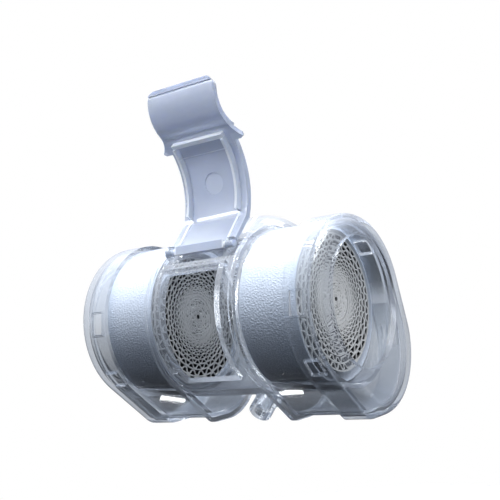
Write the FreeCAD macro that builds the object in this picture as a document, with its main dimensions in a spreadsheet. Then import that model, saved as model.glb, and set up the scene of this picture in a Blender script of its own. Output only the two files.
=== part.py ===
import FreeCAD, Part
import math
import os
import Sketcher
from FreeCAD import Placement, Rotation, Vector

# Heat and moisture exchanger with a hinged suction flap.
# X runs along the two paper rolls, -Y is the side of the suction window, +Z is up.
# The origin is the centre of the mouth of the 15 mm connector, which holds the part.

os.makedirs("parts", exist_ok=True)
doc = FreeCAD.newDocument("Exchanger")

# ---------------------------------------------------------------- driving sizes
sheet = doc.addObject("Spreadsheet::Sheet", "Sizes")
SIZES = [
    # outline of flanges and caps, seen along X: three circles and their tangents
    ("top_radius", 14.3, "round front and top of the outline"),
    ("toe_radius", 2.6, "rounded lower edge"),
    ("toe_y", 4.4, "centre of the lower edge"),
    ("toe_z", -15.6, "centre of the lower edge"),
    ("heel_radius", 11.6, "rounded back"),
    ("heel_y", 6.2, "centre of the back"),
    ("heel_z", -6.1, "centre of the back"),
    # barrels and partitions
    ("barrel_inset", 0.8, "step from flange outline to barrel outline"),
    ("cavity_inset", 1.6, "inner face of the wedge shell"),
    ("barrel_end", 22.0, "distance of the barrel end from the middle"),
    ("barrel_bore", 12.6, "radius that takes a paper roll"),
    ("barrel_outer", 13.5, "outer radius of the round tube"),
    ("flange_in", 8.1, "inner face of a partition"),
    ("flange_out", 9.0, "outer face of a partition"),
    ("port_radius", 11.2, "air opening in a partition"),
    # middle chamber
    ("chamber_outer", 13.9, "outer radius"),
    ("chamber_inner", 12.9, "inner radius"),
    ("window_half", 5.7, "half width of the suction window"),
    ("window_start", 155.0, "upper edge, degrees from +Y"),
    ("window_sweep", 85.0, "angle of the window"),
    ("rail_radius", 14.1, "raised rail round the window"),
    ("rail_half", 6.8, "outer edge of the rail"),
    ("rail_y", -0.5, "centre of the rail"),
    ("rail_z", 0.2, "centre of the rail"),
    ("recess_start", 131.0, "recess under the hinge bar"),
    ("recess_sweep", 16.5, "angle of the recess"),
    ("recess_floor", 13.3, "radius of its floor"),
    ("recess_half", 7.4, "half width of the recess"),
    # connector for a 15 mm male cone
    ("socket_mouth", 18.0, "mouth plane from the roll axis"),
    ("socket_outer", 9.2, "outer radius"),
    ("socket_bore", 7.7, "bore radius"),
    ("socket_collar", 8.5, "inner collar radius"),
    ("socket_depth", 9.0, "depth of the socket"),
    # oxygen port
    ("oxygen_offset", 16.3, "axis offset from the roll axis"),
    ("oxygen_tip", 7.14, "tip of the tube"),
    ("oxygen_start", -5.0, "closed end of the tube"),
    ("oxygen_outer", 2.05, "outer radius of the free end"),
    ("oxygen_free", 3.4, "length of the free end"),
    ("oxygen_root", 2.3, "outer radius behind the shoulder"),
    ("oxygen_bore", 1.1, "bore radius"),
    # hinge
    ("hinge_y", -10.95, "hinge axis"),
    ("hinge_z", 9.65, "hinge axis"),
    ("pin_radius", 0.6, "hinge pin"),
    ("socket_pin", 0.66, "hinge socket"),
    ("clip_radius", 1.12, "round of the hinge clip"),
    ("clip_in", 5.8, "inner face of a clip"),
    ("clip_out", 6.85, "outer face of a clip"),
    ("clip_gap", 0.95, "mouth of a clip"),
    # flap
    ("bar_half", 5.15, "half length of the hinge bar"),
    ("pin_half", 7.0, "half length over the pins"),
    ("arm_half", 6.7, "half width of the arm"),
    ("wing_half", 8.4, "half width over the wings"),
    ("wing_wall", 0.8, "thickness of the wings"),
    ("tab_half", 7.0, "half width of the tab"),
    ("arm_y", -19.95, "centre of the arm's curve"),
    ("arm_z", 18.3, "centre of the arm's curve"),
    ("arm_radius", 13.0, "inner radius of the arm"),
    ("arm_wall", 1.1, "thickness of arm and tab"),
    ("tab_y", -10.96, "centre of the tab's curve"),
    ("tab_z", 35.38, "centre of the tab's curve"),
    ("tab_radius", 5.2, "inner radius of the tab"),
    ("tab_lip", 0.25, "lip along the free end of the tab"),
    ("mark_radius", 1.9, "round moulding mark on the arm"),
    ("rib_height", 1.2, "plug ribs"),
    ("rib_in", 4.9, "inner face of a plug rib"),
    ("rib_out", 5.4, "outer face of a plug rib"),
    # caps
    ("skirt_start", 18.2, "inner end of a cap skirt"),
    ("cap_end", 24.8, "outer face of a cap"),
    ("cap_wall", 0.75, "skirt wall"),
    ("bezel_round", 2.3, "rounding of the bezel"),
    ("plenum_inset", 1.15, "inner wall in front of the barrel end"),
    ("plenum_round", 1.3, "inner rounding of the bezel"),
    ("face_wall", 1.0, "thickness of the cap face"),
    ("cap_hole", 10.7, "air opening in a cap"),
    # rolls
    ("roll_in", 9.07, "inner face of a roll"),
    ("roll_out", 19.46, "outer face of a roll"),
    ("roll_radius", 12.2, "wound paper"),
    ("eye_radius", 0.35, "hole at the middle of the winding"),
    ("wrap_inner", 12.22, "band round the roll"),
    ("wrap_outer", 12.5, "band round the roll"),
]
for row, (alias, value, note) in enumerate(SIZES, start=1):
    sheet.set(f"A{row}", note)
    sheet.set(f"B{row}", str(value))
    sheet.setAlias(f"B{row}", alias)
doc.recompute()


def size(alias):
    return float(sheet.get(alias))


# the whole object is drawn about the roll axis and then moved to the connector's mouth
SHIFT = Vector(0, -size("socket_mouth") * math.sqrt(0.5), -size("socket_mouth") * math.sqrt(0.5))


# ---------------------------------------------------------------- helpers
def origin_plane(body, role):
    return [f for f in body.Origin.OriginFeatures if f.Role == role][0]


def new_body(label):
    body = doc.addObject("PartDesign::Body", label)
    body.Label = label
    body.Placement = Placement(SHIFT, Rotation())
    return body


def new_sketch(body, name, role="YZ_Plane", at=None):
    sketch = body.newObject("Sketcher::SketchObject", name)
    sketch.AttachmentSupport = [(origin_plane(body, role), "")]
    sketch.MapMode = "FlatFace"
    if at:
        sketch.setExpression("AttachmentOffset.Base.z", at)
    return sketch


def named(sketch, name, constraint, expression=None):
    index = sketch.addConstraint(constraint)
    if expression:
        sketch.renameConstraint(index, name)
        sketch.setExpression("Constraints." + name, expression)


def outline_sketch(body, name, inset, at):
    """Outline of flange, barrel and cap: three circles joined by tangents."""
    sketch = new_sketch(body, name, "YZ_Plane", at)
    step = size(inset) if inset else 0.0
    less = f" - Sizes.{inset}" if inset else ""
    circles = [
        (0.0, 0.0, size("top_radius") - step),
        (size("toe_y"), size("toe_z"), size("toe_radius") - step),
        (size("heel_y"), size("heel_z"), size("heel_radius") - step),
    ]

    def normal(p, q):
        # outward normal angle of the tangent from circle p to circle q, anticlockwise
        dy, dz = q[0] - p[0], q[1] - p[1]
        return math.atan2(dz, dy) - math.acos((p[2] - q[2]) / math.hypot(dy, dz))

    turns = [normal(circles[i], circles[(i + 1) % 3]) for i in range(3)]
    for i, (y, z, r) in enumerate(circles):
        start, end = turns[i - 1], turns[i]
        while end < start:
            end += 2 * math.pi
        sketch.addGeometry(Part.ArcOfCircle(Part.Circle(Vector(y, z, 0), Vector(0, 0, 1), r), start, end))
    for i in range(3):
        a, b = circles[i], circles[(i + 1) % 3]
        n = Vector(math.cos(turns[i]), math.sin(turns[i]), 0)
        sketch.addGeometry(Part.LineSegment(Vector(a[0], a[1], 0) + n * a[2], Vector(b[0], b[1], 0) + n * b[2]))
    for i in range(3):
        sketch.addConstraint(Sketcher.Constraint("Tangent", i, 2, 3 + i, 1))
        sketch.addConstraint(Sketcher.Constraint("Tangent", 3 + i, 2, (i + 1) % 3, 1))
    sketch.addConstraint(Sketcher.Constraint("Coincident", 0, 3, -1, 1))
    named(sketch, "toe_across", Sketcher.Constraint("DistanceX", -1, 1, 1, 3, circles[1][0]), "Sizes.toe_y")
    named(sketch, "toe_up", Sketcher.Constraint("DistanceY", -1, 1, 1, 3, circles[1][1]), "Sizes.toe_z")
    named(sketch, "heel_across", Sketcher.Constraint("DistanceX", -1, 1, 2, 3, circles[2][0]), "Sizes.heel_y")
    named(sketch, "heel_up", Sketcher.Constraint("DistanceY", -1, 1, 2, 3, circles[2][1]), "Sizes.heel_z")
    for i, part in enumerate(("top", "toe", "heel")):
        named(sketch, part + "_round", Sketcher.Constraint("Radius", i, circles[i][2]), f"Sizes.{part}_radius{less}")
    return sketch


def circle_sketch(body, name, at, radii, role="YZ_Plane", centre=("0", "0")):
    sketch = new_sketch(body, name, role, at)
    for i, radius in enumerate(radii):
        sketch.addGeometry(Part.Circle(Vector(0, 0, 0), Vector(0, 0, 1), 5.0 + i))
        if centre == ("0", "0"):
            sketch.addConstraint(Sketcher.Constraint("Coincident", i, 3, -1, 1))
        else:
            named(sketch, f"across_{i}", Sketcher.Constraint("DistanceX", -1, 1, i, 3, 1.0), centre[0])
            named(sketch, f"up_{i}", Sketcher.Constraint("DistanceY", -1, 1, i, 3, 1.0), centre[1])
        named(sketch, f"round_{i}", Sketcher.Constraint("Radius", i, 5.0 + i), radius)
    return sketch


def feature(body, kind, name, sketch, length, midplane=False, back=False):
    doc.recompute()
    item = body.newObject("PartDesign::" + kind, name)
    item.Profile = sketch
    item.setExpression("Length", length)
    if midplane:
        item.Midplane = True
    if back:
        item.Reversed = True
    before = body.Shape.Volume if kind == "Pocket" else 0.0
    doc.recompute()
    if kind == "Pocket" and not item.Shape.Volume < before - 1e-3:
        raise RuntimeError(name + " removed nothing")
    return item


def block(body, kind, name, placement, **sizes):
    """A primitive of the body, its sizes bound to the sheet."""
    item = body.newObject("PartDesign::" + kind, name)
    for key, expression in sizes.items():
        item.setExpression(key, expression)
    item.Placement = placement
    doc.recompute()
    return item


ALONG_X = Rotation(Vector(0, 1, 0), 90)


def about_x(x, y, z, start=0.0):
    """Cylinder along +X from (x, y, z); its sector starts at this angle from +Y."""
    return Placement(Vector(x, y, z), Rotation(Vector(1, 0, 0), start - 270.0) * ALONG_X)


OUT = Vector(0, math.sqrt(0.5), math.sqrt(0.5))      # out of the 15 mm connector
BACK = Vector(0, math.sqrt(0.5), -math.sqrt(0.5))    # from the roll axis to the oxygen port
ALONG_OUT = Rotation(Vector(0, 0, 1), OUT)
ALONG_OXYGEN = Rotation(Vector(0, 0, 1), OUT * -1)

# ---------------------------------------------------------------- housing
housing = new_body("housing")
feature(housing, "Pad", "BarrelShell", outline_sketch(housing, "BarrelOutline", "barrel_inset", "0"),
        "2 * Sizes.barrel_end", midplane=True)
feature(housing, "Pad", "Flanges", outline_sketch(housing, "FlangeOutline", None, "0"),
        "2 * Sizes.flange_out", midplane=True)
feature(housing, "Pocket", "Waist",
        circle_sketch(housing, "WaistRing", "0", ["2 * Sizes.chamber_outer", "Sizes.chamber_outer"]),
        "2 * Sizes.flange_in", midplane=True)
# hollow wedge behind and below each round tube, open to the cap
for side, at, back in (("Right", "Sizes.barrel_end", False), ("Left", "-Sizes.barrel_end", True)):
    feature(housing, "Pocket", side + "Wedge",
            outline_sketch(housing, side + "WedgeOutline", "cavity_inset", at),
            "Sizes.barrel_end - Sizes.flange_out", back=back)
    start = size("flange_out") if side == "Right" else -size("barrel_end")
    block(housing, "AdditiveCylinder", side + "Tube", about_x(start, 0, 0),
          Radius="Sizes.barrel_outer", Height="Sizes.barrel_end - Sizes.flange_out")

# connector and oxygen port, solid at first
block(housing, "AdditiveCylinder", "SocketTube", Placement(OUT * 9.5, ALONG_OUT),
      Radius="Sizes.socket_outer", Height="Sizes.socket_mouth - 9.5")
block(housing, "AdditiveCylinder", "OxygenTube",
      Placement(BACK * size("oxygen_offset") - OUT * size("oxygen_start"), ALONG_OXYGEN),
      Radius="Sizes.oxygen_outer", Height="Sizes.oxygen_tip - Sizes.oxygen_start")
block(housing, "AdditiveCylinder", "OxygenRoot",
      Placement(BACK * size("oxygen_offset") - OUT * size("oxygen_start"), ALONG_OXYGEN),
      Radius="Sizes.oxygen_root", Height="Sizes.oxygen_tip - Sizes.oxygen_free - Sizes.oxygen_start")
block(housing, "AdditiveBox", "OxygenWeb",
      Placement(BACK * 13.1 + Vector(-1.45, 0, 0) - OUT * (size("oxygen_start") + 0.4),
                Rotation(Vector(1, 0, 0), Vector(0, 0, 0), BACK, "XZY")),
      Length="2.9", Width="3.3 - Sizes.oxygen_start", Height="Sizes.oxygen_offset - 13.5")

# raised rail round the window, and the recess under the hinge bar
block(housing, "AdditiveCylinder", "WindowRail",
      about_x(-size("rail_half"), size("rail_y"), size("rail_z"), size("window_start") - 1.5),
      Radius="Sizes.rail_radius", Height="2 * Sizes.rail_half", Angle="Sizes.window_sweep - 8")
block(housing, "SubtractiveCylinder", "HingeRecess",
      about_x(-size("recess_half"), 0, 0, size("recess_start")),
      Radius="20", Height="2 * Sizes.recess_half", Angle="Sizes.recess_sweep")
block(housing, "AdditiveCylinder", "RecessFloor", about_x(-size("flange_in"), 0, 0),
      Radius="Sizes.recess_floor", Height="2 * Sizes.flange_in")

# air way: middle chamber, partition openings, roll seats
block(housing, "SubtractiveCylinder", "Chamber", about_x(-size("flange_in"), 0, 0),
      Radius="Sizes.chamber_inner", Height="2 * Sizes.flange_in")
block(housing, "SubtractiveCylinder", "PartitionPorts", about_x(-size("flange_out") - 1, 0, 0),
      Radius="Sizes.port_radius", Height="2 * Sizes.flange_out + 2")
block(housing, "SubtractiveCylinder", "RightSeat", about_x(size("flange_out"), 0, 0),
      Radius="Sizes.barrel_bore", Height="Sizes.barrel_end")
block(housing, "SubtractiveCylinder", "LeftSeat", about_x(-size("flange_out") - size("barrel_end"), 0, 0),
      Radius="Sizes.barrel_bore", Height="Sizes.barrel_end")

# socket: inner collar and bore
block(housing, "AdditiveCylinder", "SocketCollar",
      Placement(OUT * (size("socket_mouth") - size("socket_depth")), ALONG_OUT),
      Radius="Sizes.socket_collar", Height="4.5")
block(housing, "SubtractiveCylinder", "SocketBore",
      Placement(OUT * (size("socket_mouth") - size("socket_depth") - 3.0), ALONG_OUT),
      Radius="Sizes.socket_bore", Height="Sizes.socket_depth + 4")
block(housing, "SubtractiveCylinder", "Window",
      about_x(-size("window_half"), 0, 0, size("window_start")),
      Radius="17", Height="2 * Sizes.window_half", Angle="Sizes.window_sweep")

# oxygen bore and its cross hole into the chamber
block(housing, "SubtractiveCylinder", "OxygenBore",
      Placement(BACK * size("oxygen_offset") + OUT * 2.5, ALONG_OXYGEN),
      Radius="Sizes.oxygen_bore", Height="Sizes.oxygen_tip + 3")
block(housing, "SubtractiveCylinder", "OxygenCross",
      Placement(BACK * 12.0 + OUT * 1.4, Rotation(Vector(0, 0, 1), BACK)),
      Radius="Sizes.oxygen_bore - 0.15", Height="Sizes.oxygen_offset - 12")

# open clips that hold the flap's pins
pin = Vector(0, size("hinge_y"), size("hinge_z"))
radial = Vector(pin).normalize()
stand = Rotation(Vector(1, 0, 0), Vector(0, 0, 0), radial, "XZY")
side_dir = stand.multVec(Vector(0, 1, 0))
for side, x in (("Right", size("clip_in")), ("Left", -size("clip_out"))):
    block(housing, "AdditiveCylinder", side + "Clip", about_x(x, pin.y, pin.z),
          Radius="Sizes.clip_radius", Height="Sizes.clip_out - Sizes.clip_in")
    foot = pin - radial * 1.6 - side_dir * 1.0
    block(housing, "AdditiveBox", side + "ClipFoot", Placement(Vector(x, foot.y, foot.z), stand),
          Length="Sizes.clip_out - Sizes.clip_in", Width="2", Height="1.6")
for side, x in (("Right", size("clip_in")), ("Left", -size("clip_out"))):
    block(housing, "SubtractiveCylinder", side + "ClipBore", about_x(x, pin.y, pin.z),
          Radius="Sizes.socket_pin", Height="Sizes.clip_out - Sizes.clip_in")
    foot = pin - side_dir * (size("clip_gap") / 2)
    block(housing, "SubtractiveBox", side + "ClipMouth", Placement(Vector(x, foot.y, foot.z), stand),
          Length="Sizes.clip_out - Sizes.clip_in", Width="Sizes.clip_gap", Height="2")

# snap blocks for the caps: front, back, top and low at the front
heel_middle = Vector(0, size("heel_y"), size("heel_z"))
rear_out = Vector(0, math.cos(math.radians(14.0)), math.sin(math.radians(14.0)))
rear_up = Rotation(Vector(1, 0, 0), Vector(0, 0, 0), rear_out, "XZY")
for side, x in (("Right", 19.2), ("Left", -21.5)):
    for where, angle in (("Top", 53.0), ("Low", 231.5)):
        outward = Vector(0, math.cos(math.radians(angle)), math.sin(math.radians(angle)))
        upright = Rotation(Vector(1, 0, 0), Vector(0, 0, 0), outward, "XZY")
        corner_at = outward * 13.1 - upright.multVec(Vector(0, 1.45, 0))
        block(housing, "AdditiveBox", side + where + "Snap", Placement(Vector(x, corner_at.y, corner_at.z), upright),
              Length="2.3", Width="2.9", Height="Sizes.top_radius - 13.25")
    block(housing, "AdditiveBox", side + "FrontSnap", Placement(Vector(x, -14.05, -3.7), Rotation()),
          Length="2.3", Width="1", Height="3.8")
    corner_at = heel_middle + rear_out * 10.5 - rear_up.multVec(Vector(0, 1.85, 0))
    block(housing, "AdditiveBox", side + "RearSnap", Placement(Vector(x, corner_at.y, corner_at.z), rear_up),
          Length="2.3", Width="3.7", Height="Sizes.heel_radius - 10.65")

# eased outer edge of the connector's mouth
doc.recompute()


def edges_where(shape, test):
    return ["Edge%d" % (i + 1) for i, edge in enumerate(shape.Edges) if test(edge)]


def at_mouth(edge):
    if not isinstance(edge.Curve, Part.Circle):
        return False
    outer = abs(edge.Curve.Radius - size("socket_outer")) < 1e-3
    return outer and (edge.Curve.Center - OUT * size("socket_mouth")).Length < 1e-3


tip = housing.Tip
mouth = housing.newObject("PartDesign::Chamfer", "SocketMouth")
mouth.Base = (tip, edges_where(tip.Shape, at_mouth))
mouth.Size = 0.4
doc.recompute()

# ---------------------------------------------------------------- end caps
def end_cap(label, sign):
    cap = new_body(label)
    turn = sign < 0
    at = f"{sign} * Sizes."
    feature(cap, "Pad", "Skirt", outline_sketch(cap, "SkirtOutline", None, at + "skirt_start"),
            "Sizes.cap_end - Sizes.skirt_start", back=turn)
    doc.recompute()
    base = cap.Tip
    bezel = cap.newObject("PartDesign::Fillet", "Bezel")
    bezel.Base = (base, edges_where(
        base.Shape, lambda e: all(abs(abs(v.X) - size("cap_end")) < 1e-4 for v in e.Vertexes)))
    bezel.setExpression("Radius", "Sizes.bezel_round")
    doc.recompute()
    feature(cap, "Pocket", "SkirtBore", outline_sketch(cap, "SkirtBoreOutline", "cap_wall", at + "skirt_start"),
            "Sizes.barrel_end + 0.05 - Sizes.skirt_start", back=not turn)
    feature(cap, "Pocket", "Plenum", outline_sketch(cap, "PlenumOutline", "plenum_inset", at + "skirt_start"),
            "Sizes.cap_end - Sizes.face_wall - Sizes.skirt_start", back=not turn)
    base = cap.Tip
    hollow = cap.newObject("PartDesign::Fillet", "InnerBezel")
    hollow.Base = (base, edges_where(
        base.Shape, lambda e: all(abs(abs(v.X) - size("cap_end") + size("face_wall")) < 1e-4 for v in e.Vertexes)))
    hollow.setExpression("Radius", "Sizes.plenum_round")
    doc.recompute()
    feature(cap, "Pocket", "AirOpening",
            circle_sketch(cap, "AirOpeningRing", at + "cap_end", ["Sizes.cap_hole"]),
            "Sizes.face_wall + 1", back=turn)
    x = 19.05 if sign > 0 else -21.65
    block(cap, "SubtractiveBox", "FrontSlot", Placement(Vector(x, -16, -3.9), Rotation()),
          Length="2.6", Width="4", Height="4.2")
    corner_at = heel_middle + rear_out * 9.5 - rear_up.multVec(Vector(0, 2.05, 0))
    block(cap, "SubtractiveBox", "RearSlot", Placement(Vector(x, corner_at.y, corner_at.z), rear_up),
          Length="2.6", Width="4.1", Height="4")
    for where, angle in (("Top", 53.0), ("Low", 231.5)):
        outward = Vector(0, math.cos(math.radians(angle)), math.sin(math.radians(angle)))
        upright = Rotation(Vector(1, 0, 0), Vector(0, 0, 0), outward, "XZY")
        corner_at = outward * 12.9 - upright.multVec(Vector(0, 1.65, 0))
        block(cap, "SubtractiveBox", where + "Slot", Placement(Vector(x, corner_at.y, corner_at.z), upright),
              Length="2.6", Width="3.3", Height="3")
    return cap


left_end_cap = end_cap("left_end_cap", -1)
right_end_cap = end_cap("right_end_cap", 1)

# ---------------------------------------------------------------- paper rolls and their bands
def roll(label, sign, radii):
    body = new_body(label)
    feature(body, "Pad", "Winding", circle_sketch(body, "WindingRing", f"{sign} * Sizes.roll_in", radii),
            "Sizes.roll_out - Sizes.roll_in", back=sign < 0)
    return body


left_paper_roll = roll("left_paper_roll", -1, ["Sizes.roll_radius", "Sizes.eye_radius"])
right_paper_roll = roll("right_paper_roll", 1, ["Sizes.roll_radius", "Sizes.eye_radius"])
left_roll_wrap = roll("left_roll_wrap", -1, ["Sizes.wrap_outer", "Sizes.wrap_inner"])
right_roll_wrap = roll("right_roll_wrap", 1, ["Sizes.wrap_outer", "Sizes.wrap_inner"])

# ---------------------------------------------------------------- flap, drawn open
flap = new_body("suction_flap")


def polar(centre, radius, degrees):
    a = math.radians(degrees)
    return Vector(centre[0] + radius * math.cos(a), centre[1] + radius * math.sin(a), 0)


ARM = (size("arm_y"), size("arm_z"))
TAB = (size("tab_y"), size("tab_z"))
BEND = -14.25      # where the flat root meets the curved arm
JOIN = 62.2        # where the arm meets the tab


def band_sketch(body, name, centre_names, low, high, start, end):
    """Sector of a ring: radii bound to the sheet, ends at the given angles."""
    centre = (size(centre_names[0]), size(centre_names[1]))
    sketch = new_sketch(body, name)
    inner, outer = low[1], high[1]
    middle = Vector(centre[0], centre[1], 0)
    a, b = math.radians(start), math.radians(end)
    sketch.addGeometry(Part.ArcOfCircle(Part.Circle(middle, Vector(0, 0, 1), inner), a, b))
    sketch.addGeometry(Part.ArcOfCircle(Part.Circle(middle, Vector(0, 0, 1), outer), a, b))
    sketch.addGeometry(Part.LineSegment(polar(centre, inner, start), polar(centre, outer, start)))
    sketch.addGeometry(Part.LineSegment(polar(centre, inner, end), polar(centre, outer, end)))
    for g, p, h, q in ((0, 1, 2, 1), (1, 1, 2, 2), (0, 2, 3, 1), (1, 2, 3, 2)):
        sketch.addConstraint(Sketcher.Constraint("Coincident", g, p, h, q))
    sketch.addConstraint(Sketcher.Constraint("Coincident", 0, 3, 1, 3))
    named(sketch, "across", Sketcher.Constraint("DistanceX", -1, 1, 0, 3, centre[0]), "Sizes." + centre_names[0])
    named(sketch, "up", Sketcher.Constraint("DistanceY", -1, 1, 0, 3, centre[1]), "Sizes." + centre_names[1])
    named(sketch, "inner", Sketcher.Constraint("Radius", 0, inner), low[0])
    named(sketch, "outer", Sketcher.Constraint("Radius", 1, outer), high[0])
    sketch.addConstraint(Sketcher.Constraint("Angle", 2, math.radians((start + 180.0) % 360.0 - 180.0)))
    sketch.addConstraint(Sketcher.Constraint("Angle", 3, math.radians((end + 180.0) % 360.0 - 180.0)))
    sketch.addConstraint(Sketcher.Constraint("PointOnObject", 0, 3, 2))
    sketch.addConstraint(Sketcher.Constraint("PointOnObject", 0, 3, 3))
    return sketch


inner, outer = size("arm_radius"), size("arm_radius") + size("arm_wall")
feature(flap, "Pad", "Arm",
        band_sketch(flap, "ArmBand", ("arm_y", "arm_z"), ("Sizes.arm_radius", inner),
                    ("Sizes.arm_radius + Sizes.arm_wall", outer), BEND, JOIN),
        "2 * Sizes.arm_half", midplane=True)


def polygon_sketch(body, name, corners, at=None):
    sketch = new_sketch(body, name, "YZ_Plane", at)
    count = len(corners)
    for i in range(count):
        sketch.addGeometry(Part.LineSegment(corners[i], corners[(i + 1) % count]))
    for i in range(count):
        sketch.addConstraint(Sketcher.Constraint("Coincident", i, 2, (i + 1) % count, 1))
        sketch.addConstraint(Sketcher.Constraint("DistanceX", -1, 1, i, 1, corners[i].x))
        sketch.addConstraint(Sketcher.Constraint("DistanceY", -1, 1, i, 1, corners[i].y))
    return sketch


# flat root from the hinge bar to the bend
low, high = polar(ARM, inner, BEND), polar(ARM, outer, BEND + 1.5)
corners = [Vector(-10.65, 10.2, 0), low, polar(ARM, (inner + outer) / 2, BEND + 2), high, Vector(-10.4, 9.5, 0)]
feature(flap, "Pad", "Root", polygon_sketch(flap, "RootProfile", corners), "2 * Sizes.arm_half", midplane=True)
# the plug ribs run on over the root as low ridges
start, end = low + Vector(0.25, -0.05, 0), Vector(-10.15, 10.95, 0)
across = Vector(-0.829, 0.558, 0)
ridge = [start, end, end + across * 0.15, low + across * 0.2]
for side in ("Right", "Left"):
    at = "Sizes.rib_in" if side == "Right" else "-Sizes.rib_in"
    feature(flap, "Pad", side + "RootRidge", polygon_sketch(flap, side + "RidgeProfile", ridge, at),
            "Sizes.rib_out - Sizes.rib_in", back=side == "Left")
# thin wings, flared towards the arm, where it meets the finger tab, then the tab itself
feature(flap, "Pad", "Wings",
        band_sketch(flap, "WingBand", ("arm_y", "arm_z"), ("Sizes.arm_radius", inner),
                    ("Sizes.arm_radius + Sizes.wing_wall", inner + size("wing_wall")), 44.5, 62.0),
        "2 * Sizes.wing_half", midplane=True)


def from_arm(degrees):
    """Direction from the centre of the arm's curve, and a frame whose Z runs along it."""
    a = math.radians(degrees)
    outward = Vector(0, math.cos(a), math.sin(a))
    return outward, Rotation(Vector(1, 0, 0), Vector(0, 0, 0), outward, "XZY")


ARM_CENTRE = Vector(0, ARM[0], ARM[1])
outward, upright = from_arm(62.1)
for side, x in (("Right", 11.72), ("Left", -11.72)):
    block(flap, "SubtractiveCylinder", side + "Flare", Placement(ARM_CENTRE + outward * 11.0 + Vector(x, 0, 0), upright),
          Radius="4.73", Height="6")
doc.recompute()
base = flap.Tip
wing_corners = edges_where(base.Shape, lambda e: e.Length < 1.0 and all(
    abs(abs(v.X) - size("wing_half")) < 1e-4 and
    abs(math.degrees(math.atan2(v.Z - ARM[1], v.Y - ARM[0])) - 44.5) < 0.1 for v in e.Vertexes))
soft = flap.newObject("PartDesign::Fillet", "WingCorners")
soft.Base = (base, wing_corners)
soft.Radius = 0.45
doc.recompute()
tab_in, tab_out = size("tab_radius"), size("tab_radius") + size("arm_wall")
feature(flap, "Pad", "Tab",
        band_sketch(flap, "TabBand", ("tab_y", "tab_z"), ("Sizes.tab_radius", tab_in),
                    ("Sizes.tab_radius + Sizes.arm_wall", tab_out), 168.0, 267.0),
        "2 * Sizes.tab_half", midplane=True)
feature(flap, "Pad", "TabLip",
        band_sketch(flap, "LipBand", ("tab_y", "tab_z"), ("Sizes.tab_radius + 0.3", tab_in + 0.3),
                    ("Sizes.tab_radius + Sizes.arm_wall + Sizes.tab_lip", tab_out + size("tab_lip")), 168.0, 175.5),
        "2 * Sizes.tab_half", midplane=True)
# hinge bar, cleared at both ends for the clips, and its pins
block(flap, "AdditiveBox", "HingeBar",
      Placement(Vector(-size("bar_half"), size("hinge_y") - 0.6, size("hinge_z") - 0.6), Rotation()),
      Length="2 * Sizes.bar_half", Width="1.2", Height="1.4")
block(flap, "SubtractiveCylinder", "RightRelief", about_x(size("bar_half"), size("hinge_y"), size("hinge_z")),
      Radius="1.4", Height="4")
block(flap, "SubtractiveCylinder", "LeftRelief", about_x(-size("bar_half") - 4, size("hinge_y"), size("hinge_z")),
      Radius="1.4", Height="4")
block(flap, "AdditiveCylinder", "Pins", about_x(-size("pin_half"), size("hinge_y"), size("hinge_z")),
      Radius="Sizes.pin_radius", Height="2 * Sizes.pin_half")
# plug ribs on the inner side, and the low ridge across the junction
for side, x in (("Right", size("rib_in")), ("Left", -size("rib_out"))):
    sketch = band_sketch(flap, side + "RibBand", ("arm_y", "arm_z"),
                         ("Sizes.arm_radius - Sizes.rib_height", inner - size("rib_height")),
                         ("Sizes.arm_radius + 0.3", inner + 0.3), -9.0, 50.0)
    sketch.setExpression("AttachmentOffset.Base.z", "Sizes.rib_in" if side == "Right" else "-Sizes.rib_in")
    feature(flap, "Pad", side + "Rib", sketch, "Sizes.rib_out - Sizes.rib_in", back=side == "Left")
feature(flap, "Pad", "CrossRidge",
        band_sketch(flap, "RidgeBand", ("arm_y", "arm_z"),
                    ("Sizes.arm_radius - 0.9", inner - 0.9),
                    ("Sizes.arm_radius + 0.3", inner + 0.3), 50.0, 53.5),
        "2 * Sizes.rib_out", midplane=True)

# faint step across the arm below the wings, and the round moulding mark
feature(flap, "Pad", "ArmStep",
        band_sketch(flap, "StepBand", ("arm_y", "arm_z"), ("Sizes.arm_radius - 0.08", inner - 0.08),
                    ("Sizes.arm_radius + 0.3", inner + 0.3), 39.6, 51.0),
        "2 * Sizes.rib_in + 0.2", midplane=True)
outward, upright = from_arm(15.8)
block(flap, "SubtractiveCylinder", "MouldMark", Placement(ARM_CENTRE + outward * 11.6, upright),
      Radius="Sizes.mark_radius", Height="1.52")

# rounded corners of the tab's free end
doc.recompute()
base = flap.Tip
tip_edges = edges_where(base.Shape, lambda e: e.Length < 1.5 and e.Length > 1.0 and all(
    abs(abs(v.X) - size("tab_half")) < 1e-4 and v.Z > size("tab_z") for v in e.Vertexes))
corner = flap.newObject("PartDesign::Fillet", "TabCorners")
corner.Base = (base, tip_edges)
corner.Radius = 1.6
doc.recompute()

# ---------------------------------------------------------------- checks and export
NODES = [housing, left_end_cap, right_end_cap, left_paper_roll, right_paper_roll,
         left_roll_wrap, right_roll_wrap, flap]
doc.recompute()
for item in doc.Objects:
    if "Invalid" in item.State or "Error" in item.State:
        raise RuntimeError(item.Name + " failed: " + ", ".join(item.State))
for node in NODES:
    shape = node.Shape
    if shape.isNull() or not shape.isValid() or len(shape.Solids) != 1:
        for solid in shape.Solids:
            print(node.Label, solid.Volume, solid.BoundBox)
        raise RuntimeError("%s: null, invalid or not one solid (%d)" % (node.Label, len(shape.Solids)))
for node in NODES:
    shape = node.Shape
    shape.exportStep("parts/" + node.Label + ".step")
    box = shape.BoundBox
    print("%-18s %9.2f mm3  x %.2f..%.2f  y %.2f..%.2f  z %.2f..%.2f" % (
        node.Label, shape.Volume, box.XMin, box.XMax, box.YMin, box.YMax, box.ZMin, box.ZMax))
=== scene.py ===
import math

import bpy
import numpy as np
from mathutils import Matrix, Vector


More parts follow.
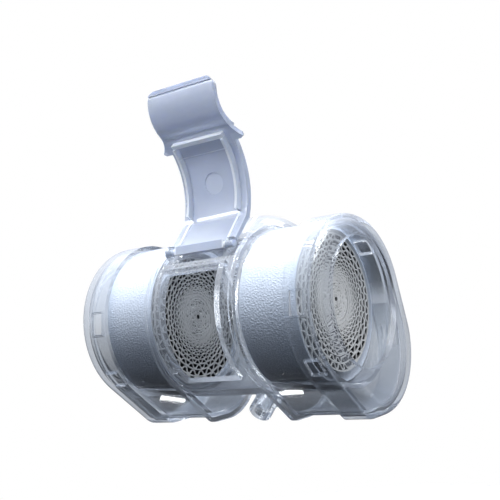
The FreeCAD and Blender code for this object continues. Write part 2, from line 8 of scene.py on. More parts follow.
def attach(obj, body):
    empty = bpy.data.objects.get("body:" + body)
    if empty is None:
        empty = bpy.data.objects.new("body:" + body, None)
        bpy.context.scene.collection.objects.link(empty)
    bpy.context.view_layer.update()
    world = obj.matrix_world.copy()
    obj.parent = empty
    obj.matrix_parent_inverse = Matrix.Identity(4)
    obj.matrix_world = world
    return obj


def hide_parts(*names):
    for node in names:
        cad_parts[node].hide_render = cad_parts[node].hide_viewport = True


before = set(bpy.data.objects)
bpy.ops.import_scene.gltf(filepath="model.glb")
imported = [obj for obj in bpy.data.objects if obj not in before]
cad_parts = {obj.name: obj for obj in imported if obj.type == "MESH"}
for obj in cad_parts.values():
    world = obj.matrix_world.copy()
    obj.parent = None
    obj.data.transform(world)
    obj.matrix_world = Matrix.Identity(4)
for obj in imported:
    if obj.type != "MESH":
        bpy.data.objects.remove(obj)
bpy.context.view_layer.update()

MM = 0.001
SHIFT = 12.7279          # the roll axis lies this far in front of and below the origin, in mm
ROLL_IN, ROLL_OUT = 9.07, 19.46
scene = bpy.context.scene


# ------------------------------------------------------------------ camera
view = Vector((-0.5603, 0.7981, 0.2219)).normalized()
right = Vector((0.8184, 0.5746, 0.0)).normalized()
up = right.cross(view).normalized()
camera_data = bpy.data.cameras.new("camera")
camera = bpy.data.objects.new("camera", camera_data)
scene.collection.objects.link(camera)
pose = Matrix((right, up, -view)).transposed().to_4x4()
pose.translation = Vector((0.0850, -0.13043, -0.03433))
camera.matrix_world = pose
camera_data.sensor_fit = "HORIZONTAL"
camera_data.sensor_width = 36.0
camera_data.lens = 60.54
camera_data.clip_start = 0.005
camera_data.clip_end = 50.0
scene.camera = camera


# ------------------------------------------------------------------ node helpers
def tree_of(material):
    material.use_nodes = True
    tree = material.node_tree
    tree.nodes.clear()
    return tree


def node(tree, kind, **values):
    item = tree.nodes.new(kind)
    for key, value in values.items():
        if key.startswith("in_"):
            item.inputs[key[3:].replace("_", " ")].default_value = value
        else:
            setattr(item, key, value)
    return item


def link(tree, a, b):
    tree.links.new(a, b)


def ramp(tree, factor, stops, interpolation="LINEAR"):
    item = tree.nodes.new("ShaderNodeValToRGB")
    item.color_ramp.interpolation = interpolation
    elements = item.color_ramp.elements
    elements[0].position, elements[0].color = stops[0][0], stops[0][1]
    elements[1].position, elements[1].color = stops[-1][0], stops[-1][1]
    for position, colour in stops[1:-1]:
        elements.new(position).color = colour
    link(tree, factor, item.inputs[0])
    return item


def grey(v, a=1.0):
    return (v, v, v, a)


# ------------------------------------------------------------------ world: a white studio, bright above and dark below
world = bpy.data.worlds.new("studio")
scene.world = world
world.use_nodes = True
wt = world.node_tree
wt.nodes.clear()
coords = node(wt, "ShaderNodeTexCoord")
split = node(wt, "ShaderNodeSeparateXYZ")
link(wt, coords.outputs["Generated"], split.inputs[0])
level = node(wt, "ShaderNodeMapRange", in_From_Min=-1.0, in_From_Max=1.0)
link(wt, split.outputs["Z"], level.inputs["Value"])
sky = ramp(wt, level.outputs[0], [
    (0.0, (0.004, 0.004, 0.005, 1)),
    (0.42, (0.010, 0.011, 0.013, 1)),
    (0.52, (0.16, 0.18, 0.22, 1)),
    (0.64, (0.62, 0.68, 0.80, 1)),
    (0.80, (1.15, 1.20, 1.28, 1)),
    (1.0, (1.6, 1.62, 1.66, 1))])
seen = ramp(wt, level.outputs[0], [
    (0.0, (0.03, 0.031, 0.034, 1)),
    (0.35, (0.05, 0.053, 0.058, 1)),
    (0.50, (0.14, 0.15, 0.17, 1)),
    (0.60, (0.28, 0.30, 0.34, 1)),
    (0.68, (0.66, 0.70, 0.78, 1)),
    (0.80, (0.84, 0.88, 0.96, 1)),
    (0.94, (0.95, 0.98, 1.03, 1)),
    (1.0, (2.6, 2.6, 2.6, 1))])
which = node(wt, "ShaderNodeLightPath")
soft_mix = node(wt, "ShaderNodeMix", data_type="RGBA")
link(wt, which.outputs["Is Diffuse Ray"], soft_mix.inputs["Factor"])
link(wt, seen.outputs[0], soft_mix.inputs[6])
link(wt, sky.outputs[0], soft_mix.inputs[7])
soft = node(wt, "ShaderNodeBackground", in_Strength=1.0)
link(wt, soft_mix.outputs[2], soft.inputs["Color"])
plain = node(wt, "ShaderNodeBackground", in_Strength=1.0)
plain.inputs["Color"].default_value = (1, 1, 1, 1)
ray = node(wt, "ShaderNodeLightPath")
pick = node(wt, "ShaderNodeMixShader")
link(wt, ray.outputs["Is Camera Ray"], pick.inputs[0])
link(wt, soft.outputs[0], pick.inputs[1])
link(wt, plain.outputs[0], pick.inputs[2])
end = node(wt, "ShaderNodeOutputWorld")
link(wt, pick.outputs[0], end.inputs[0])

scene.view_settings.view_transform = "Standard"
scene.view_settings.look = "None"


def area(name, place, target, size, power, colour=(1, 1, 1), size_y=None):
    data = bpy.data.lights.new(name, "AREA")
    data.energy = power
    data.color = colour
    data.size = size
    if size_y:
        data.shape = "RECTANGLE"
        data.size_y = size_y
    item = bpy.data.objects.new(name, data)
    scene.collection.objects.link(item)
    item.location = place
    item.rotation_euler = (Vector(target) - Vector(place)).to_track_quat("-Z", "Y").to_euler()
    return item


CENTRE = Vector((0, -SHIFT * MM, -SHIFT * MM))
top_box = area("top_box", (-0.05, -0.06, 0.40), CENTRE, 0.30, 2.9, size_y=0.30)
top_box.visible_glossy = False
high_front = area("high_front", (-0.06, -0.20, 0.34), (0, -0.012, 0.0), 0.16, 1.9)
high_front.visible_glossy = False
right_soft = area("right_soft", (0.34, -0.10, -0.02), CENTRE, 0.22, 0.30)
right_soft.visible_glossy = False
strip = area("back_strip", CENTRE + Vector((-0.56, 0.30, 0.77)) * 0.36, CENTRE, 0.18, 0.30, size_y=0.03)
strip.visible_diffuse = False
# two small lamps below, seen only as glints on the sloping front of the foot
for side, place, glint in (("left", (-0.2067, 0.1013, -0.2250), (-0.0129, -0.0150, -0.0277)),
                           ("right", (-0.1483, 0.1126, -0.2461), (0.0121, -0.0155, -0.0274))):
    lamp = area("low_spark_" + side, place, glint, 0.0015, 0.0012, size_y=0.013)
    lamp.rotation_euler.rotate_axis("Z", math.radians(-48.0))
    lamp.visible_diffuse = False

# grey card behind the object that glows, seen only through the clear plastic: painted light and shade, darker towards
# its foot, brightest just below the middle, with a painted dark spot behind the right cap's hole
card_mesh = bpy.data.meshes.new("grey_card")
card_mesh.from_pydata([(-0.3, -0.3, 0), (0.3, -0.3, 0), (0.3, 0.3, 0), (-0.3, 0.3, 0)], [], [(0, 1, 2, 3)])
card = bpy.data.objects.new("grey_card", card_mesh)
scene.collection.objects.link(card)
card_pose = Matrix((right, up, -view)).transposed().to_4x4()
card_pose.translation = CENTRE + view * 0.14
card.matrix_world = card_pose
card_grey = bpy.data.materials.new("grey_card")
ct = tree_of(card_grey)
cc = node(ct, "ShaderNodeTexCoord")
cs = node(ct, "ShaderNodeSeparateXYZ")
link(ct, cc.outputs["Object"], cs.inputs[0])
cl = node(ct, "ShaderNodeMapRange", in_From_Min=-0.06, in_From_Max=0.06)
link(ct, cs.outputs["Y"], cl.inputs["Value"])
fade = ramp(ct, cl.outputs[0], [
    (0.0, (0.04, 0.041, 0.043, 1)),
    (0.13, (0.05, 0.052, 0.056, 1)),
    (0.19, (0.30, 0.31, 0.33, 1)),
    (0.30, (0.58, 0.595, 0.62, 1)),
    (0.42, (0.72, 0.76, 0.83, 1)),
    (0.54, (0.22, 0.24, 0.29, 1)),
    (0.62, (0.18, 0.20, 0.25, 1)),
    (0.80, (0.34, 0.38, 0.46, 1)),
    (1.0, (0.26, 0.29, 0.35, 1))])
# painted shade: the card glows less in a round spot behind the right cap's hole
painted_dark_spot = node(ct, "ShaderNodeVectorMath", operation="DISTANCE")
painted_dark_spot.inputs[1].default_value = (0.0445, 0.006, 0.0)
link(ct, cc.outputs["Object"], painted_dark_spot.inputs[0])
painted_dark_spot_edge = node(ct, "ShaderNodeMapRange", in_From_Min=0.006, in_From_Max=0.024, in_To_Min=0.08, in_To_Max=1.0)
link(ct, painted_dark_spot.outputs["Value"], painted_dark_spot_edge.inputs["Value"])
ce = node(ct, "ShaderNodeEmission")
link(ct, fade.outputs[0], ce.inputs["Color"])
link(ct, painted_dark_spot_edge.outputs[0], ce.inputs["Strength"])
co = node(ct, "ShaderNodeOutputMaterial")
link(ct, ce.outputs[0], co.inputs[0])
card_mesh.materials.append(card_grey)
card.visible_camera = False
card.visible_diffuse = False
card.visible_glossy = False
card.visible_shadow = False

# ------------------------------------------------------------------ floor
floor_mesh = bpy.data.meshes.new("floor")
z = -0.5
floor_mesh.from_pydata([(-4, -4, z), (4, -4, z), (4, 9, z), (-4, 9, z)], [], [(0, 1, 2, 3)])
floor = bpy.data.objects.new("floor", floor_mesh)
scene.collection.objects.link(floor)
paper_white = bpy.data.materials.new("pale_floor")
ft = tree_of(paper_white)
fb = node(ft, "ShaderNodeBsdfPrincipled", in_Roughness=0.9)
fb.inputs["Base Color"].default_value = (0.92, 0.92, 0.92, 1)
fo = node(ft, "ShaderNodeOutputMaterial")
link(ft, fb.outputs[0], fo.inputs[0])
floor_mesh.materials.append(paper_white)
floor.visible_diffuse = False
floor.visible_glossy = False
floor.visible_transmission = False


# ------------------------------------------------------------------ materials
def clear_plastic(name, tint, roughness, passes, haze, seed, ior):
    """Clear moulded plastic: thin, faintly milky, with flow lines in the gloss; lamps shine through it; painted shade
    makes its colour darker and bluer towards the silhouettes.
    """
    material = bpy.data.materials.new(name)
    t = tree_of(material)
    place = node(t, "ShaderNodeTexCoord")
    flow = node(t, "ShaderNodeTexNoise", in_Scale=240.0 + seed, in_Detail=3.0, in_Roughness=0.55)
    link(t, place.outputs["Object"], flow.inputs["Vector"])
    rough = node(t, "ShaderNodeMapRange", in_From_Min=0.35, in_From_Max=0.75,
                 in_To_Min=roughness * 0.6, in_To_Max=roughness * 1.7)
    link(t, flow.outputs["Fac"], rough.inputs["Value"])
    swirl = node(t, "ShaderNodeTexNoise", in_Scale=110.0, in_Detail=1.0)
    link(t, place.outputs["Object"], swirl.inputs["Vector"])
    bump = node(t, "ShaderNodeBump", in_Strength=0.05, in_Distance=0.0003)
    link(t, swirl.outputs["Fac"], bump.inputs["Height"])
    cast = ramp(t, flow.outputs["Fac"], [(0.3, tint), (0.7, tuple(min(1.0, c * 1.02) for c in tint[:3]) + (1,))])
    body = node(t, "ShaderNodeBsdfPrincipled", in_IOR=ior)
    body.inputs["Transmission Weight"].default_value = 1.0
    body.inputs["Coat Weight"].default_value = 1.0
    body.inputs["Coat Roughness"].default_value = 0.03
    body.inputs["Coat IOR"].default_value = 1.5
    rim = node(t, "ShaderNodeLayerWeight", in_Blend=0.5)
    # painted shade: the clear colour turns darker and bluer where the surface turns away from view
    painted_edge_shade = ramp(t, rim.outputs["Facing"], [(0.0, (1, 1, 1, 1)), (0.72, (0.99, 0.99, 1, 1)),
                                               (0.90, (0.80, 0.84, 0.93, 1)), (1.0, (0.62, 0.67, 0.80, 1))])
    shaded = node(t, "ShaderNodeMix", data_type="RGBA", blend_type="MULTIPLY")
    shaded.inputs["Factor"].default_value = 1.0
    link(t, cast.outputs[0], shaded.inputs[6])
    link(t, painted_edge_shade.outputs[0], shaded.inputs[7])
    link(t, shaded.outputs[2], body.inputs["Base Color"])
    link(t, rough.outputs[0], body.inputs["Roughness"])
    link(t, bump.outputs[0], body.inputs["Normal"])
    link(t, bump.outputs[0], body.inputs["Coat Normal"])
    milk = node(t, "ShaderNodeBsdfPrincipled", in_Roughness=0.4)
    # painted shade: the milk turns darker and bluer towards the silhouettes
    milk_tone = ramp(t, rim.outputs["Facing"], [(0.0, (0.66, 0.70, 0.76, 1)), (0.70, (0.62, 0.66, 0.74, 1)), (1.0, (0.36, 0.40, 0.52, 1))])
    link(t, milk_tone.outputs[0], milk.inputs["Base Color"])
    facing = node(t, "ShaderNodeLayerWeight", in_Blend=0.35)
    amount = node(t, "ShaderNodeMapRange", in_From_Min=0.0, in_From_Max=1.0,
                  in_To_Min=haze, in_To_Max=haze * 3.4)
    link(t, facing.outputs["Facing"], amount.inputs["Value"])
    cloudy = node(t, "ShaderNodeMixShader")
    link(t, amount.outputs[0], cloudy.inputs[0])
    link(t, body.outputs[0], cloudy.inputs[1])
    link(t, milk.outputs[0], cloudy.inputs[2])
    through = node(t, "ShaderNodeBsdfTransparent")
    through.inputs["Color"].default_value = passes
    rays = node(t, "ShaderNodeLightPath")
    either = node(t, "ShaderNodeMath", operation="MAXIMUM")
    link(t, rays.outputs["Is Shadow Ray"], either.inputs[0])
    link(t, rays.outputs["Is Diffuse Ray"], either.inputs[1])
    mix = node(t, "ShaderNodeMixShader")
    link(t, either.outputs[0], mix.inputs[0])
    link(t, cloudy.outputs[0], mix.inputs[1])
    link(t, through.outputs[0], mix.inputs[2])
    out = node(t, "ShaderNodeOutputMaterial")
    link(t, mix.outputs[0], out.inputs[0])
    return material


def wear(cad_node, material):
    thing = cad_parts[cad_node]
    if not thing.material_slots:
        thing.data.materials.append(material)
    for s in thing.material_slots:
        s.material = material


clear_body = clear_plastic("clear_body", (0.95, 0.97, 0.99, 1), 0.02, (0.85, 0.87, 0.895, 1), 0.10, 0.0, 1.14)
clear_cap = clear_plastic("clear_cap", (0.95, 0.97, 0.99, 1), 0.02, (0.87, 0.89, 0.91, 1), 0.075, 35.0, 1.09)
wear("housing", clear_body)
wear("left_end_cap", clear_cap)
wear("right_end_cap", clear_cap)


def flap_plastic():
    """Milky, blue-tinted moulded plastic: part clear, part scattering, milkier and paler on the ribs, where it is
    thicker, and on the mould mark, with painted highlight lines on the ribs, cross ridge, step edge, arm margins and
    tab.
    """
    material = bpy.data.materials.new("flap_plastic")
    t = tree_of(material)
    place = node(t, "ShaderNodeTexCoord")
    xyz = node(t, "ShaderNodeSeparateXYZ")
    link(t, place.outputs["Object"], xyz.inputs[0])

    def maths(operation, *inputs):
        item = node(t, "ShaderNodeMath", operation=operation)
        for i, value in enumerate(inputs):
            if isinstance(value, (int, float)):
                item.inputs[i].default_value = value
            else:
                link(t, value, item.inputs[i])
        return item.outputs[0]

    def between(value, low, high, soft):
        """1 where value lies between low and high, 0 outside."""
        rise = node(t, "ShaderNodeMapRange", in_From_Min=low - soft, in_From_Max=low + soft)
        link(t, value, rise.inputs["Value"])
        fall = node(t, "ShaderNodeMapRange", in_From_Min=high - soft, in_From_Max=high + soft, in_To_Min=1.0, in_To_Max=0.0)
        link(t, value, fall.inputs["Value"])
        return maths("MULTIPLY", rise.outputs[0], fall.outputs[0])

    across = maths("ABSOLUTE", xyz.outputs["X"])
    dy = maths("ADD", xyz.outputs["Y"], (19.95 + SHIFT) * MM)
    dz = maths("ADD", xyz.outputs["Z"], (SHIFT - 18.3) * MM)
    along = maths("ARCTAN2", dz, dy)                    # angle round the centre of the arm's curve
    on_arm = between(along, -1.1, math.radians(50.0), 0.01)
    # painted highlight lines: pale bands on the ribs, the cross ridge, the step edge and the arm's margins; the ribs
    # are thicker plastic, so they are also milkier
    rib = maths("MULTIPLY", between(across, 4.86 * MM, 5.44 * MM, 0.10 * MM), on_arm)
    ridge = maths("MULTIPLY", between(along, math.radians(49.6), math.radians(54.0), 0.006),
                  between(across, -1.0, 5.45 * MM, 0.05 * MM))
    step = maths("MULTIPLY", between(along, math.radians(39.3), math.radians(40.2), 0.004),
                 between(across, -1.0, 5.0 * MM, 0.05 * MM))
    my = maths("ADD", xyz.outputs["Y"], 20.17 * MM)
    mz = maths("SUBTRACT", xyz.outputs["Z"], 9.11 * MM)
    out2 = maths("ADD", maths("MULTIPLY", my, my), maths("MULTIPLY", mz, mz))
    far = maths("SQRT", maths("ADD", out2, maths("MULTIPLY", across, across)))
    # the ejector mark: a paler, milkier disc
    disc = maths("MULTIPLY", between(far, -1.0, 1.88 * MM, 0.08 * MM), 0.28)
    margin = maths("MULTIPLY", between(across, 6.35 * MM, 1.0, 0.15 * MM), maths("MULTIPLY", on_arm, 0.15))
    # finger tab: the lip along its end coloured a darker blue, and two painted highlight lines under the lip
    ty = maths("ADD", xyz.outputs["Y"], (10.96 + SHIFT) * MM)
    tz = maths("ADD", xyz.outputs["Z"], (SHIFT - 35.38) * MM)
    tab_along = maths("ARCTAN2", tz, ty)
    tab_far = maths("SQRT", maths("ADD", maths("MULTIPLY", ty, ty), maths("MULTIPLY", tz, tz)))
    on_tab = between(tab_far, -1.0, 7.0 * MM, 0.1 * MM)
    lip = maths("MULTIPLY", between(tab_along, 2.90, 3.058, 0.012), on_tab)
    painted_lip_highlights = maths("MULTIPLY", maths("MAXIMUM", between(tab_along, 3.066, 3.086, 0.006), between(tab_along, 3.108, 3.122, 0.005)), on_tab)
    mould_mark_and_painted_highlights = maths("MAXIMUM", maths("MAXIMUM", rib, ridge), maths("MAXIMUM", maths("MAXIMUM", step, disc), maths("MAXIMUM", margin, painted_lip_highlights)))

    cloud = node(t, "ShaderNodeTexNoise", in_Scale=160.0, in_Detail=2.0)
    link(t, place.outputs["Object"], cloud.inputs["Vector"])
    colour = ramp(t, cloud.outputs["Fac"], [(0.3, (0.59, 0.66, 0.82, 1)), (0.7, (0.66, 0.73, 0.89, 1))])
    tint = node(t, "ShaderNodeMix", data_type="RGBA")
    tint.inputs[7].default_value = (0.80, 0.85, 0.93, 1)
    link(t, mould_mark_and_painted_highlights, tint.inputs["Factor"])
    link(t, colour.outputs[0], tint.inputs[6])
    grain = node(t, "ShaderNodeTexNoise", in_Scale=1800.0, in_Detail=2.0)
    link(t, place.outputs["Object"], grain.inputs["Vector"])
    bump = node(t, "ShaderNodeBump", in_Strength=0.08, in_Distance=0.0001)
    link(t, grain.outputs["Fac"], bump.inputs["Height"])
    milk = node(t, "ShaderNodeBsdfPrincipled", in_Roughness=0.35, in_IOR=1.5)
    milk.inputs["Coat Weight"].default_value = 1.0
    milk.inputs["Coat Roughness"].default_value = 0.05
    milk.inputs["Subsurface Weight"].default_value = 0.3
    milk.inputs["Subsurface Radius"].default_value = (0.8, 0.9, 1.2)
    milk.inputs["Subsurface Scale"].default_value = 0.0008
    lip_tint = node(t, "ShaderNodeMix", data_type="RGBA")
    lip_tint.inputs[7].default_value = (0.42, 0.49, 0.66, 1)
    link(t, lip, lip_tint.inputs["Factor"])
    link(t, tint.outputs[2], lip_tint.inputs[6])
    link(t, lip_tint.outputs[2], milk.inputs["Base Color"])
    link(t, bump.outputs[0], milk.inputs["Normal"])
    clear = node(t, "ShaderNodeBsdfPrincipled", in_Roughness=0.10, in_IOR=1.3)
    clear.inputs["Transmission Weight"].default_value = 1.0
    clear.inputs["Coat Weight"].default_value = 1.0
    clear.inputs["Coat Roughness"].default_value = 0.06
    clear.inputs["Coat IOR"].default_value = 1.5
    clear.inputs["Base Color"].default_value = (0.90, 0.93, 0.98, 1)
    link(t, bump.outputs[0], clear.inputs["Normal"])
    share = node(t, "ShaderNodeMapRange", in_To_Min=0.52, in_To_Max=0.22)
    link(t, mould_mark_and_painted_highlights, share.inputs["Value"])
    mix = node(t, "ShaderNodeMixShader")
    link(t, share.outputs[0], mix.inputs[0])
    link(t, milk.outputs[0], mix.inputs[1])
    link(t, clear.outputs[0], mix.inputs[2])
    out = node(t, "ShaderNodeOutputMaterial")
    link(t, mix.outputs[0], out.inputs[0])
    return material


wear("suction_flap", flap_plastic())

# the flap stands free in the light: its own softbox, and none from the top one
flap_front = area("flap_front", (-0.04, -0.30, 0.16), (0, -0.02, 0.012), 0.12, 0.85)
flap_front.visible_glossy = False
only_flap = bpy.data.collections.new("only_flap")
only_flap.objects.link(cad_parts["suction_flap"])
flap_front.light_linking.receiver_collection = only_flap
not_flap = bpy.data.collections.new("not_flap")
not_flap.objects.link(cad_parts["suction_flap"])
not_flap.collection_objects[0].light_linking.link_state = "EXCLUDE"
high_front.light_linking.receiver_collection = not_flap
flap_top = area("flap_top", (-0.05, -0.06, 0.40), (0, -0.02, 0.012), 0.30, 2.3)
flap_top.visible_glossy = False
flap_strip = area("flap_strip", Vector((0, -0.025, 0.018)) + Vector((-0.56, -0.67, 0.49)) * 0.36, (0, -0.025, 0.018), 0.20, 0.16, size_y=0.016)
flap_strip.visible_diffuse = False
flap_strip.light_linking.receiver_collection = only_flap
flap_top.light_linking.receiver_collection = only_flap
top_box.light_linking.receiver_collection = not_flap


# ------------------------------------------------------------------ corrugated rolls
def smooth_noise(rng, n, width):
    """n values of smooth noise, -1 to 1, that vary over about width samples."""
    raw = rng.standard_normal(n + 6 * width)
    kernel = np.exp(-0.5 * (np.arange(-3 * width, 3 * width + 1) / width) ** 2)
    out = np.convolve(raw, kernel, mode="same")[3 * width: 3 * width + n]
    return out / max(1e-9, np.abs(out).max())


def ribbon(points, thickness, x0, x1):
    """A closed strip of paper that follows points (y, z), square to X."""
    p = np.asarray(points)
    d = np.gradient(p, axis=0)
    d /= np.linalg.norm(d, axis=1)[:, None]
    side = np.stack([-d[:, 1], d[:, 0]], 1) * (np.asarray(thickness).reshape(-1, 1) / 2)
    a, b = p + side, p - side
    n = len(p)
    x0, x1 = np.broadcast_to(x0, (n,)), np.broadcast_to(x1, (n,))
    verts = np.concatenate([
        np.column_stack([x0, a]), np.column_stack([x0, b]),
        np.column_stack([x1, a]), np.column_stack([x1, b])])
    i = np.arange(n - 1)
    faces = []
    for u, v in ((0, 1), (3, 2), (2, 0), (1, 3)):
        faces += np.column_stack([u * n + i, u * n + i + 1, v * n + i + 1, v * n + i]).tolist()
    faces += [[0, n, 3 * n, 2 * n], [n - 1, 3 * n - 1, 4 * n - 1, 2 * n - 1]]
    faces[-2] = faces[-2][::-1]
    return verts, faces


def join(parts):
    verts, faces, base = [], [], 0
    for v, f in parts:
        verts.append(v)
        faces += [[k + base for k in face] for face in f]
        base += len(v)
    return np.concatenate(verts), faces


def mesh_object(name, verts, faces, material, smooth=False):
    """Vertices in mm about the roll axis become a piece in the row frame."""
    v = np.array(verts, float)
    v[:, 1] -= SHIFT
    v[:, 2] -= SHIFT
    mesh = bpy.data.meshes.new(name)
    mesh.from_pydata((v * MM).tolist(), [], faces)
    mesh.validate()
    thing = bpy.data.objects.new(name, mesh)
    scene.collection.objects.link(thing)
    import bmesh
    bm = bmesh.new()
    bm.from_mesh(mesh)
    bmesh.ops.recalc_face_normals(bm, faces=bm.faces)
    bm.to_mesh(mesh)
    bm.free()
    if smooth:
        mesh.polygons.foreach_set("use_smooth", [True] * len(mesh.polygons))
    mesh.materials.append(material)
    return thing


R_CORE, R_RIM = 3.4, 12.06
PITCH_AT = (3.4, 5.0, 6.5, 8.0, 9.5, 11.0, 12.1)
PITCH = (0.42, 0.50, 0.66, 0.88, 1.14, 1.32, 1.36)


def corrugated_roll(name, seed, sign, centre, stretch, material):
    """Fluted paper glued to a flat liner and wound in a spiral: tall flutes at the rim, crushed ones inside."""
    rng = np.random.default_rng(seed)
    step = 0.004
    thetas, radii = [0.0], [R_CORE]
    while radii[-1] < R_RIM:
        r = radii[-1]
        radii.append(r + float(np.interp(r, PITCH_AT, PITCH)) * step / (2 * math.pi))
        thetas.append(thetas[-1] + step)
    thetas, radii = np.array(thetas), np.array(radii)
    turns = thetas[-1]

    def radius(th):
        return np.interp(th, thetas, radii)

    wob_at = np.linspace(0, turns, 4000)
    wob = smooth_noise(rng, 4000, 50)
    start = rng.uniform(0, 2 * math.pi)
    flat = rng.uniform(0, 2 * math.pi)

    def place(th, r):
        # the winding's centre sits a little off the axis, and the turns are not quite round
        inward = 1 - (r / R_RIM) ** 2
        a = start + sign * th
        rr = r * (1 + 0.035 * inward * np.cos(2 * (a - flat)))
        rr = rr + 0.10 * np.interp(th, wob_at, wob) * np.clip((R_RIM - r) / 1.5, 0, 1)
        return np.column_stack([centre[0] * inward + rr * np.cos(a), centre[1] * inward + rr * np.sin(a)])

    parts = []
    # liner
    th = np.arange(0, turns, 0.035)
    ends = 0.03 * np.interp(th, wob_at, smooth_noise(rng, 4000, 30))
    parts.append(ribbon(place(th, radius(th)), 0.02 + 0.19 * np.interp(radius(th), PITCH_AT, PITCH), sign * (ROLL_IN + 0.07 + ends), sign * (ROLL_OUT - 0.07 + ends)))
    # flutes, between this turn and the one before it
    phase, th_now, ths, phis = 0.0, 2 * math.pi, [], []
    while th_now < turns:
        r = float(radius(th_now))
        wave = stretch * float(np.interp(r, PITCH_AT, PITCH)) + 0.12
        ths.append(th_now)
        phis.append(phase)
        th_now += wave / 16.0 / r
        phase += 2 * math.pi / 16.0
    ths, phis = np.array(ths), np.array(phis)
    n = len(ths)
    phis = phis + 1.1 * smooth_noise(rng, n, 22)
    upper, lower = radius(ths), radius(ths - 2 * math.pi)
    gap = upper - lower
    crush = np.clip((upper - 3.7) / 3.0, 0, 1)          # flutes are pressed shut towards the middle
    dent = 1 - (0.45 - 0.33 * crush) * (1 + smooth_noise(rng, n, 30))
    height = np.clip((gap * 0.70 - 0.02) / 2, 0.0, None) * dent * crush
    wave = np.clip(1.75 * np.sin(phis + 0.45 * smooth_noise(rng, n, 12)), -1, 1)
    wave = wave * (0.94 + 0.06 * smooth_noise(rng, n, 8))
    path = (upper + lower) / 2 + height * wave
    ends = 0.03 * smooth_noise(rng, n, 20)
    sheet = crush * (0.02 + 0.18 * gap) + (1 - crush) * 0.80 * gap
    parts.append(ribbon(place(ths, path), sheet, sign * (ROLL_IN + 0.09 + ends), sign * (ROLL_OUT - 0.09 + ends)))
    # pressed middle, wound round a small eye
    rings, spokes = 52, 170
    rr = np.linspace(0.40, R_CORE + 0.25, rings)
    aa = np.linspace(0, 2 * math.pi, spokes, endpoint=False)
    grid_r, grid_a = np.meshgrid(rr, aa, indexing="ij")
    groove = np.sin(2 * math.pi * (grid_r / 0.40) - grid_a)
    depth = 0.09 + 0.015 * groove + 0.012 * rng.standard_normal((rings, spokes))
    pits = np.zeros((rings, spokes))
    for _ in range(60):
        pr, pa = rng.uniform(1.0, R_CORE + 0.2), rng.uniform(0, 2 * math.pi)
        da = (grid_a - pa + math.pi) % (2 * math.pi) - math.pi
        near = ((grid_r - pr) / 0.09) ** 2 + (da * pr / 0.20) ** 2
        pits += 0.16 * np.exp(-near)
    depth = depth + np.clip(pits, 0, 0.6)
    inward = 1 - (grid_r / R_RIM) ** 2
    rr = grid_r * (1 + 0.035 * inward * np.cos(2 * (grid_a - flat)))
    ys = centre[0] * inward + rr * np.cos(grid_a)
    zs = centre[1] * inward + rr * np.sin(grid_a)
    inner = np.column_stack([(sign * (ROLL_IN + depth)).ravel(), ys.ravel(), zs.ravel()])
    outer = np.column_stack([(sign * (ROLL_OUT - depth)).ravel(), ys.ravel(), zs.ravel()])
    faces = []
    m = rings * spokes
    for i in range(rings - 1):
        for j in range(spokes):
            k, l = i * spokes + j, i * spokes + (j + 1) % spokes
            faces.append([k, l, l + spokes, k + spokes])
            faces.append([m + k, m + k + spokes, m + l + spokes, m + l])
    for i in (0, rings - 1):
        for j in range(spokes):
            k, l = i * spokes + j, i * spokes + (j + 1) % spokes
            faces.append([k, m + k, m + l, l] if i == 0 else [k, l, m + l, m + k])
    parts.append((np.concatenate([inner, outer]), faces))
    verts, faces = join(parts)
    return mesh_object(name, verts, faces, material)


def paper_material():
    """Grey-white filter paper, fibrous, with painted shade inside the flutes: darker the deeper it lies below the cut
    faces.
    """
    material = bpy.data.materials.new("rolled_paper")
    t = tree_of(material)
    place = node(t, "ShaderNodeTexCoord")
    xyz = node(t, "ShaderNodeSeparateXYZ")
    link(t, place.outputs["Object"], xyz.inputs[0])
    side = node(t, "ShaderNodeMath", operation="ABSOLUTE")
    link(t, xyz.outputs["X"], side.inputs[0])
    middle = node(t, "ShaderNodeMath", operation="SUBTRACT")
    middle.inputs[1].default_value = (ROLL_IN + ROLL_OUT) / 2 * MM
    link(t, side.outputs[0], middle.inputs[0])
    off = node(t, "ShaderNodeMath", operation="ABSOLUTE")
    link(t, middle.outputs[0], off.inputs[0])
    half = (ROLL_OUT - ROLL_IN) / 2
    # painted shade: the colour darkens with depth below the roll's cut faces
    shade = node(t, "ShaderNodeMapRange", in_From_Min=(half - 0.33) * MM, in_From_Max=(half - 0.15) * MM,
                 in_To_Min=0.04, in_To_Max=1.0)
    link(t, off.outputs[0], shade.inputs["Value"])
    fibre = node(t, "ShaderNodeTexNoise", in_Scale=2600.0, in_Detail=4.0, in_Roughness=0.6)
    link(t, place.outputs["Object"], fibre.inputs["Vector"])
    tone = ramp(t, fibre.outputs["Fac"], [(0.3, (0.60, 0.605, 0.60, 1)), (0.7, (0.76, 0.76, 0.75, 1))])
    dark = node(t, "ShaderNodeMix", data_type="RGBA", blend_type="MULTIPLY")
    dark.inputs["Factor"].default_value = 1.0
    link(t, tone.outputs[0], dark.inputs[6])
    link(t, shade.outputs[0], dark.inputs[7])
    bump = node(t, "ShaderNodeBump", in_Strength=0.35, in_Distance=0.00005)
    link(t, fibre.outputs["Fac"], bump.inputs["Height"])
    body = node(t, "ShaderNodeBsdfPrincipled", in_Roughness=0.88)
    link(t, dark.outputs[2], body.inputs["Base Color"])
    link(t, bump.outputs[0], body.inputs["Normal"])
    out = node(t, "ShaderNodeOutputMaterial")
    link(t, body.outputs[0], out.inputs[0])
    return material


paper = paper_material()
for label, seed, sign, centre, stretch in (("right", 5, 1, (0.0, 0.8), 1.85), ("left", 11, -1, (0.2, 0.3), 1.90)):
    thing = corrugated_roll(label + "_corrugated_roll", seed, sign, centre, stretch, paper)
    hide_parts(label + "_paper_roll")
    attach(thing, "exchanger")


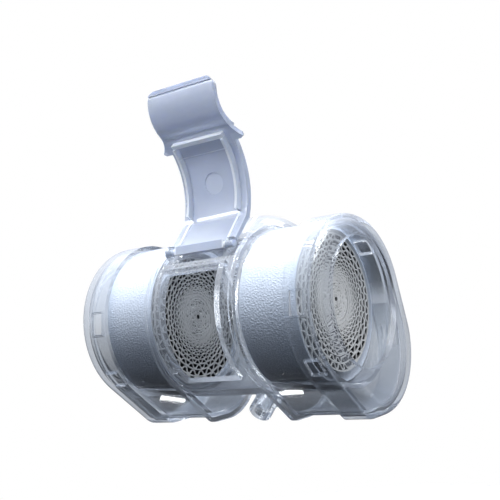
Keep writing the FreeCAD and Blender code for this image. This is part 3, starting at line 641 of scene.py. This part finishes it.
# ------------------------------------------------------------------ embossed bands round the rolls
def band_relief(rng, na, nx):
    """Crepe embossing: short ridges that run mostly along the roll, periodic round it."""
    ka = np.fft.fftfreq(na)[:, None] * na
    kx = np.fft.fftfreq(nx)[None, :] * nx
    out = np.zeros((na, nx))
    for la, lx, weight in ((0.13, 0.19, 1.0), (0.09, 0.12, 0.7)):
        # correlation lengths in mm round and along
        fa, fx = ka / 78.0, kx / (ROLL_OUT - ROLL_IN)
        keep = np.exp(-((fa * la * 2.2) ** 2) - ((fx * lx * 2.2) ** 2)) * (1 - np.exp(-((fa * la * 2.2) ** 2 + (fx * lx * 2.2) ** 2) * 3))
        layer = np.real(np.fft.ifft2(np.fft.fft2(rng.standard_normal((na, nx))) * keep))
        out += weight * layer / layer.std()
    out /= out.std()
    return np.tanh(out * 0.8)


def embossed_band(name, seed, sign, material):
    rng = np.random.default_rng(seed)
    na, nx = 860, 92
    relief = band_relief(rng, na, nx)
    a = np.linspace(0, 2 * math.pi, na, endpoint=False)
    x = np.linspace(ROLL_IN + 0.02, ROLL_OUT - 0.02, nx)
    edge = np.clip(np.minimum(x - x[0], x[-1] - x) / 0.3, 0, 1)
    r = 12.445 + 0.05 * relief * edge[None, :]
    ga, gx = np.meshgrid(a, x, indexing="ij")
    outer = np.column_stack([(sign * gx).ravel(), (r * np.cos(ga)).ravel(), (r * np.sin(ga)).ravel()])
    inner_r = 12.24
    ends = [x[0], x[-1]]
    inner = np.array([[sign * e, inner_r * math.cos(t), inner_r * math.sin(t)] for e in ends for t in a])
    faces = []
    m = na * nx
    for i in range(na):
        j = (i + 1) % na
        base_i, base_j = i * nx, j * nx
        for k in range(nx - 1):
            faces.append([base_i + k, base_j + k, base_j + k + 1, base_i + k + 1])
        faces.append([m + i, m + j, base_j, base_i])
        faces.append([base_i + nx - 1, base_j + nx - 1, m + na + j, m + na + i])
        faces.append([m + i, m + na + i, m + na + j, m + j])
    return mesh_object(name, np.concatenate([outer, inner]), faces, material, smooth=True)


def band_material():
    """Soft blue-white crepe paper."""
    material = bpy.data.materials.new("roll_band")
    t = tree_of(material)
    place = node(t, "ShaderNodeTexCoord")
    fibre = node(t, "ShaderNodeTexNoise", in_Scale=2200.0, in_Detail=4.0, in_Roughness=0.65)
    link(t, place.outputs["Object"], fibre.inputs["Vector"])
    tone = ramp(t, fibre.outputs["Fac"], [(0.3, (0.58, 0.64, 0.74, 1)), (0.7, (0.70, 0.75, 0.84, 1))])
    bump = node(t, "ShaderNodeBump", in_Strength=0.3, in_Distance=0.00004)
    link(t, fibre.outputs["Fac"], bump.inputs["Height"])
    body = node(t, "ShaderNodeBsdfPrincipled", in_Roughness=0.62)
    link(t, tone.outputs[0], body.inputs["Base Color"])
    link(t, bump.outputs[0], body.inputs["Normal"])
    out = node(t, "ShaderNodeOutputMaterial")
    link(t, body.outputs[0], out.inputs[0])
    return material


band = band_material()
for label, seed, sign in (("right", 21, 1), ("left", 22, -1)):
    thing = embossed_band(label + "_embossed_band", seed, sign, band)
    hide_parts(label + "_roll_wrap")
    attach(thing, "exchanger")

scene.cycles.max_bounces = 24
scene.cycles.transmission_bounces = 24
scene.cycles.transparent_max_bounces = 24

bpy.context.view_layer.update()
